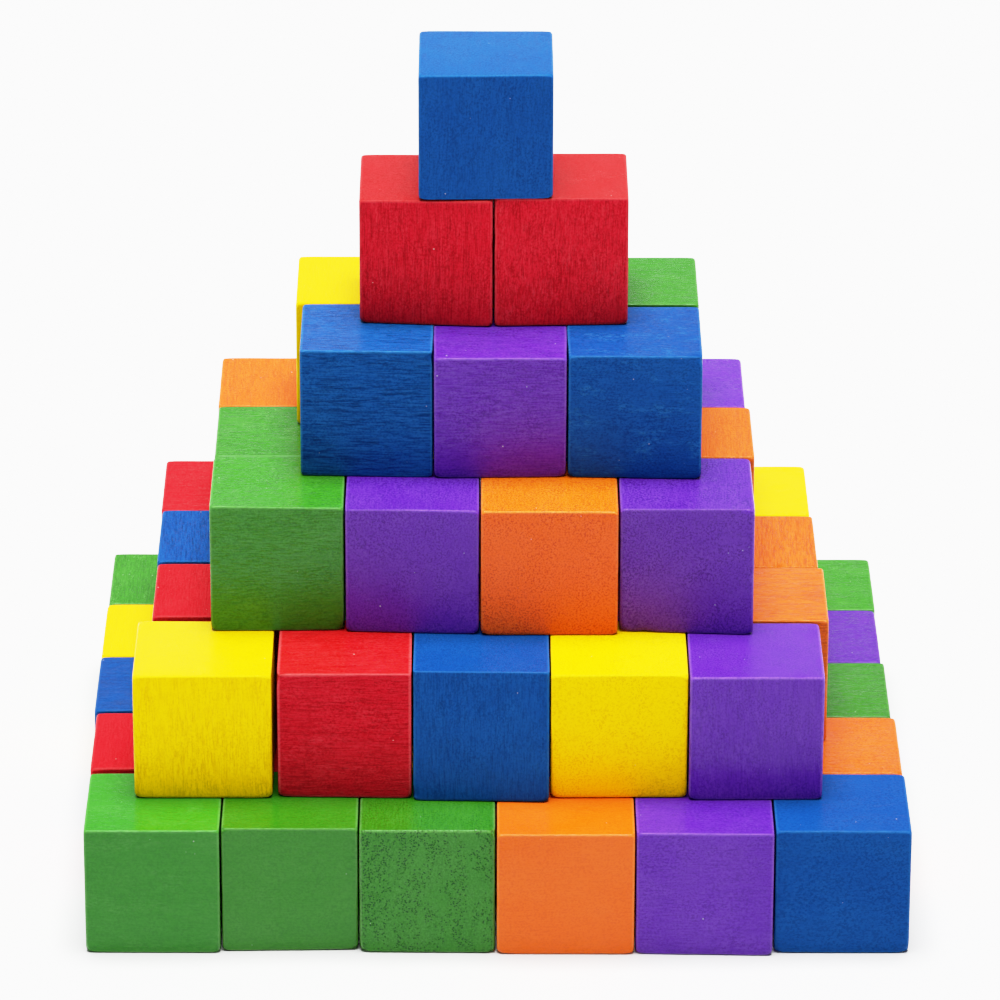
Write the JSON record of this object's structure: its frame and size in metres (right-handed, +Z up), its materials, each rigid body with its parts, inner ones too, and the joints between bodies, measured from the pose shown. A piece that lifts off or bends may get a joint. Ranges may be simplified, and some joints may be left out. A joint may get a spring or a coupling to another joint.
{
  "type": "stacking block tower",
  "caption": "Stepped tower of loose painted wooden cubes in flat layers; upper layers lift off and every outer cube slides out of its layer.",
  "frame": {"origin": "on the ground under the centre of the bottom layer's footprint", "axes": "+Z up; -Y is the front of the tower and +X is to the right when facing it"},
  "size_m": [0.155, 0.1302, 0.1524],
  "materials": {
    "paint_green": "satin",
    "paint_red": "satin",
    "paint_blue": "satin",
    "paint_yellow": "satin",
    "paint_purple": "satin",
    "paint_orange": "satin"
  },
  "bodies": {
    "base_core": {"layer1_core_red": "paint_red", "layer1_core_yellow": "paint_yellow", "layer1_core_purple": "paint_purple", "layer1_core_blue": "paint_blue"},
    "layer2_core": {"layer2_core_green": "paint_green", "layer2_core_orange": "paint_orange", "layer2_core_purple": "paint_purple"},
    "layer3_core": {"layer3_core_yellow": "paint_yellow", "layer3_core_blue": "paint_blue"},
    "layer4_middle": {"layer4_back2_orange": "paint_orange"},
    "layer6_top_blue": {"layer6_top_blue": "paint_blue"},
    "layer5_left_red": {"layer5_left_red": "paint_red"},
    "layer5_right_red": {"layer5_right_red": "paint_red"},
    "layer4_back1_yellow": {"layer4_back1_yellow": "paint_yellow"},
    "layer4_back3_green": {"layer4_back3_green": "paint_green"},
    "layer4_front1_blue": {"layer4_front1_blue": "paint_blue"},
    "layer4_front2_purple": {"layer4_front2_purple": "paint_purple"},
    "layer4_front3_blue": {"layer4_front3_blue": "paint_blue"},
    "layer3_front1_green": {"layer3_front1_green": "paint_green"},
    "layer3_front2_purple": {"layer3_front2_purple": "paint_purple"},
    "layer3_front3_orange": {"layer3_front3_orange": "paint_orange"},
    "layer3_front4_purple": {"layer3_front4_purple": "paint_purple"},
    "layer2_front1_yellow": {"layer2_front1_yellow": "paint_yellow"},
    "layer2_front2_red": {"layer2_front2_red": "paint_red"},
    "layer2_front3_blue": {"layer2_front3_blue": "paint_blue"},
    "layer2_front4_yellow": {"layer2_front4_yellow": "paint_yellow"},
    "layer2_front5_purple": {"layer2_front5_purple": "paint_purple"},
    "layer1_front1_green": {"layer1_front1_green": "paint_green"},
    "layer1_front2_green": {"layer1_front2_green": "paint_green"},
    "layer1_front3_green": {"layer1_front3_green": "paint_green"},
    "layer1_front4_orange": {"layer1_front4_orange": "paint_orange"},
    "layer1_front5_purple": {"layer1_front5_purple": "paint_purple"},
    "layer1_front6_blue": {"layer1_front6_blue": "paint_blue"},
    "layer3_left2_green": {"layer3_left2_green": "paint_green"},
    "layer2_left2_red": {"layer2_left2_red": "paint_red"},
    "layer2_left3_blue": {"layer2_left3_blue": "paint_blue"},
    "layer1_left2_red": {"layer1_left2_red": "paint_red"},
    "layer1_left3_blue": {"layer1_left3_blue": "paint_blue"},
    "layer1_left4_yellow": {"layer1_left4_yellow": "paint_yellow"},
    "layer3_right2_orange": {"layer3_right2_orange": "paint_orange"},
    "layer2_right2_orange": {"layer2_right2_orange": "paint_orange"},
    "layer2_right3_orange": {"layer2_right3_orange": "paint_orange"},
    "layer1_right2_orange": {"layer1_right2_orange": "paint_orange"},
    "layer1_right3_green": {"layer1_right3_green": "paint_green"},
    "layer1_right4_purple": {"layer1_right4_purple": "paint_purple"},
    "layer3_back1_orange": {"layer3_back1_orange": "paint_orange"},
    "layer3_back2_red": {"layer3_back2_red": "paint_red"},
    "layer3_back3_yellow": {"layer3_back3_yellow": "paint_yellow"},
    "layer3_back4_purple": {"layer3_back4_purple": "paint_purple"},
    "layer2_back1_red": {"layer2_back1_red": "paint_red"},
    "layer2_back2_green": {"layer2_back2_green": "paint_green"},
    "layer2_back3_purple": {"layer2_back3_purple": "paint_purple"},
    "layer2_back4_blue": {"layer2_back4_blue": "paint_blue"},
    "layer2_back5_yellow": {"layer2_back5_yellow": "paint_yellow"},
    "layer1_back1_green": {"layer1_back1_green": "paint_green"},
    "layer1_back2_orange": {"layer1_back2_orange": "paint_orange"},
    "layer1_back3_blue": {"layer1_back3_blue": "paint_blue"},
    "layer1_back4_yellow": {"layer1_back4_yellow": "paint_yellow"},
    "layer1_back5_red": {"layer1_back5_red": "paint_red"},
    "layer1_back6_green": {"layer1_back6_green": "paint_green"}
  },
  "joints": [
    {"name": "layer2_lift", "type": "slide", "parent": "base_core", "child": "layer2_core", "axis": [0, 0, 1], "range_m": [0, 0.032]},
    {"name": "layer3_lift", "type": "slide", "parent": "layer2_core", "child": "layer3_core", "axis": [0, 0, 1], "range_m": [0, 0.032]},
    {"name": "layer4_lift", "type": "slide", "parent": "layer3_core", "child": "layer4_middle", "axis": [0, 0, 1], "range_m": [0, 0.032]},
    {"name": "layer6_top_blue_lift", "type": "slide", "parent": "layer4_middle", "child": "layer6_top_blue", "axis": [0, 0, 1], "range_m": [0, 0.04]},
    {"name": "layer5_left_red_pull", "type": "slide", "parent": "layer4_middle", "child": "layer5_left_red", "axis": [-1, 0, 0], "range_m": [0, 0.032]},
    {"name": "layer5_right_red_pull", "type": "slide", "parent": "layer4_middle", "child": "layer5_right_red", "axis": [1, 0, 0], "range_m": [0, 0.032]},
    {"name": "layer4_back1_yellow_pull", "type": "slide", "parent": "layer4_middle", "child": "layer4_back1_yellow", "axis": [-1, 0, 0], "range_m": [0, 0.032]},
    {"name": "layer4_back3_green_pull", "type": "slide", "parent": "layer4_middle", "child": "layer4_back3_green", "axis": [1, 0, 0], "range_m": [0, 0.032]},
    {"name": "layer4_front1_blue_pull", "type": "slide", "parent": "layer4_middle", "child": "layer4_front1_blue", "axis": [0, -1, 0], "range_m": [0, 0.032]},
    {"name": "layer4_front2_purple_pull", "type": "slide", "parent": "layer4_middle", "child": "layer4_front2_purple", "axis": [0, -1, 0], "range_m": [0, 0.032]},
    {"name": "layer4_front3_blue_pull", "type": "slide", "parent": "layer4_middle", "child": "layer4_front3_blue", "axis": [0, -1, 0], "range_m": [0, 0.032]},
    {"name": "layer3_front1_green_pull", "type": "slide", "parent": "layer3_core", "child": "layer3_front1_green", "axis": [0, -1, 0], "range_m": [0, 0.032]},
    {"name": "layer3_front2_purple_pull", "type": "slide", "parent": "layer3_core", "child": "layer3_front2_purple", "axis": [0, -1, 0], "range_m": [0, 0.032]},
    {"name": "layer3_front3_orange_pull", "type": "slide", "parent": "layer3_core", "child": "layer3_front3_orange", "axis": [0, -1, 0], "range_m": [0, 0.032]},
    {"name": "layer3_front4_purple_pull", "type": "slide", "parent": "layer3_core", "child": "layer3_front4_purple", "axis": [0, -1, 0], "range_m": [0, 0.032]},
    {"name": "layer2_front1_yellow_pull", "type": "slide", "parent": "layer2_core", "child": "layer2_front1_yellow", "axis": [0, -1, 0], "range_m": [0, 0.032]},
    {"name": "layer2_front2_red_pull", "type": "slide", "parent": "layer2_core", "child": "layer2_front2_red", "axis": [0, -1, 0], "range_m": [0, 0.032]},
    {"name": "layer2_front3_blue_pull", "type": "slide", "parent": "layer2_core", "child": "layer2_front3_blue", "axis": [0, -1, 0], "range_m": [0, 0.032]},
    {"name": "layer2_front4_yellow_pull", "type": "slide", "parent": "layer2_core", "child": "layer2_front4_yellow", "axis": [0, -1, 0], "range_m": [0, 0.032]},
    {"name": "layer2_front5_purple_pull", "type": "slide", "parent": "layer2_core", "child": "layer2_front5_purple", "axis": [0, -1, 0], "range_m": [0, 0.032]},
    {"name": "layer1_front1_green_pull", "type": "slide", "parent": "base_core", "child": "layer1_front1_green", "axis": [0, -1, 0], "range_m": [0, 0.032]},
    {"name": "layer1_front2_green_pull", "type": "slide", "parent": "base_core", "child": "layer1_front2_green", "axis": [0, -1, 0], "range_m": [0, 0.032]},
    {"name": "layer1_front3_green_pull", "type": "slide", "parent": "base_core", "child": "layer1_front3_green", "axis": [0, -1, 0], "range_m": [0, 0.032]},
    {"name": "layer1_front4_orange_pull", "type": "slide", "parent": "base_core", "child": "layer1_front4_orange", "axis": [0, -1, 0], "range_m": [0, 0.032]},
    {"name": "layer1_front5_purple_pull", "type": "slide", "parent": "base_core", "child": "layer1_front5_purple", "axis": [0, -1, 0], "range_m": [0, 0.032]},
    {"name": "layer1_front6_blue_pull", "type": "slide", "parent": "base_core", "child": "layer1_front6_blue", "axis": [0, -1, 0], "range_m": [0, 0.032]},
    {"name": "layer3_left2_green_pull", "type": "slide", "parent": "layer3_core", "child": "layer3_left2_green", "axis": [-1, 0, 0], "range_m": [0, 0.032]},
    {"name": "layer2_left2_red_pull", "type": "slide", "parent": "layer2_core", "child": "layer2_left2_red", "axis": [-1, 0, 0], "range_m": [0, 0.032]},
    {"name": "layer2_left3_blue_pull", "type": "slide", "parent": "layer2_core", "child": "layer2_left3_blue", "axis": [-1, 0, 0], "range_m": [0, 0.032]},
    {"name": "layer1_left2_red_pull", "type": "slide", "parent": "base_core", "child": "layer1_left2_red", "axis": [-1, 0, 0], "range_m": [0, 0.032]},
    {"name": "layer1_left3_blue_pull", "type": "slide", "parent": "base_core", "child": "layer1_left3_blue", "axis": [-1, 0, 0], "range_m": [0, 0.032]},
    {"name": "layer1_left4_yellow_pull", "type": "slide", "parent": "base_core", "child": "layer1_left4_yellow", "axis": [-1, 0, 0], "range_m": [0, 0.032]},
    {"name": "layer3_right2_orange_pull", "type": "slide", "parent": "layer3_core", "child": "layer3_right2_orange", "axis": [1, 0, 0], "range_m": [0, 0.032]},
    {"name": "layer2_right2_orange_pull", "type": "slide", "parent": "layer2_core", "child": "layer2_right2_orange", "axis": [1, 0, 0], "range_m": [0, 0.032]},
    {"name": "layer2_right3_orange_pull", "type": "slide", "parent": "layer2_core", "child": "layer2_right3_orange", "axis": [1, 0, 0], "range_m": [0, 0.032]},
    {"name": "layer1_right2_orange_pull", "type": "slide", "parent": "base_core", "child": "layer1_right2_orange", "axis": [1, 0, 0], "range_m": [0, 0.032]},
    {"name": "layer1_right3_green_pull", "type": "slide", "parent": "base_core", "child": "layer1_right3_green", "axis": [1, 0, 0], "range_m": [0, 0.032]},
    {"name": "layer1_right4_purple_pull", "type": "slide", "parent": "base_core", "child": "layer1_right4_purple", "axis": [1, 0, 0], "range_m": [0, 0.032]},
    {"name": "layer3_back1_orange_pull", "type": "slide", "parent": "layer3_core", "child": "layer3_back1_orange", "axis": [0, 1, 0], "range_m": [0, 0.032]},
    {"name": "layer3_back2_red_pull", "type": "slide", "parent": "layer3_core", "child": "layer3_back2_red", "axis": [0, 1, 0], "range_m": [0, 0.032]},
    {"name": "layer3_back3_yellow_pull", "type": "slide", "parent": "layer3_core", "child": "layer3_back3_yellow", "axis": [0, 1, 0], "range_m": [0, 0.032]},
    {"name": "layer3_back4_purple_pull", "type": "slide", "parent": "layer3_core", "child": "layer3_back4_purple", "axis": [0, 1, 0], "range_m": [0, 0.032]},
    {"name": "layer2_back1_red_pull", "type": "slide", "parent": "layer2_core", "child": "layer2_back1_red", "axis": [0, 1, 0], "range_m": [0, 0.032]},
    {"name": "layer2_back2_green_pull", "type": "slide", "parent": "layer2_core", "child": "layer2_back2_green", "axis": [0, 1, 0], "range_m": [0, 0.032]},
    {"name": "layer2_back3_purple_pull", "type": "slide", "parent": "layer2_core", "child": "layer2_back3_purple", "axis": [0, 1, 0], "range_m": [0, 0.032]},
    {"name": "layer2_back4_blue_pull", "type": "slide", "parent": "layer2_core", "child": "layer2_back4_blue", "axis": [0, 1, 0], "range_m": [0, 0.032]},
    {"name": "layer2_back5_yellow_pull", "type": "slide", "parent": "layer2_core", "child": "layer2_back5_yellow", "axis": [0, 1, 0], "range_m": [0, 0.032]},
    {"name": "layer1_back1_green_pull", "type": "slide", "parent": "base_core", "child": "layer1_back1_green", "axis": [0, 1, 0], "range_m": [0, 0.032]},
    {"name": "layer1_back2_orange_pull", "type": "slide", "parent": "base_core", "child": "layer1_back2_orange", "axis": [0, 1, 0], "range_m": [0, 0.032]},
    {"name": "layer1_back3_blue_pull", "type": "slide", "parent": "base_core", "child": "layer1_back3_blue", "axis": [0, 1, 0], "range_m": [0, 0.032]},
    {"name": "layer1_back4_yellow_pull", "type": "slide", "parent": "base_core", "child": "layer1_back4_yellow", "axis": [0, 1, 0], "range_m": [0, 0.032]},
    {"name": "layer1_back5_red_pull", "type": "slide", "parent": "base_core", "child": "layer1_back5_red", "axis": [0, 1, 0], "range_m": [0, 0.032]},
    {"name": "layer1_back6_green_pull", "type": "slide", "parent": "base_core", "child": "layer1_back6_green", "axis": [0, 1, 0], "range_m": [0, 0.032]}
  ]
}
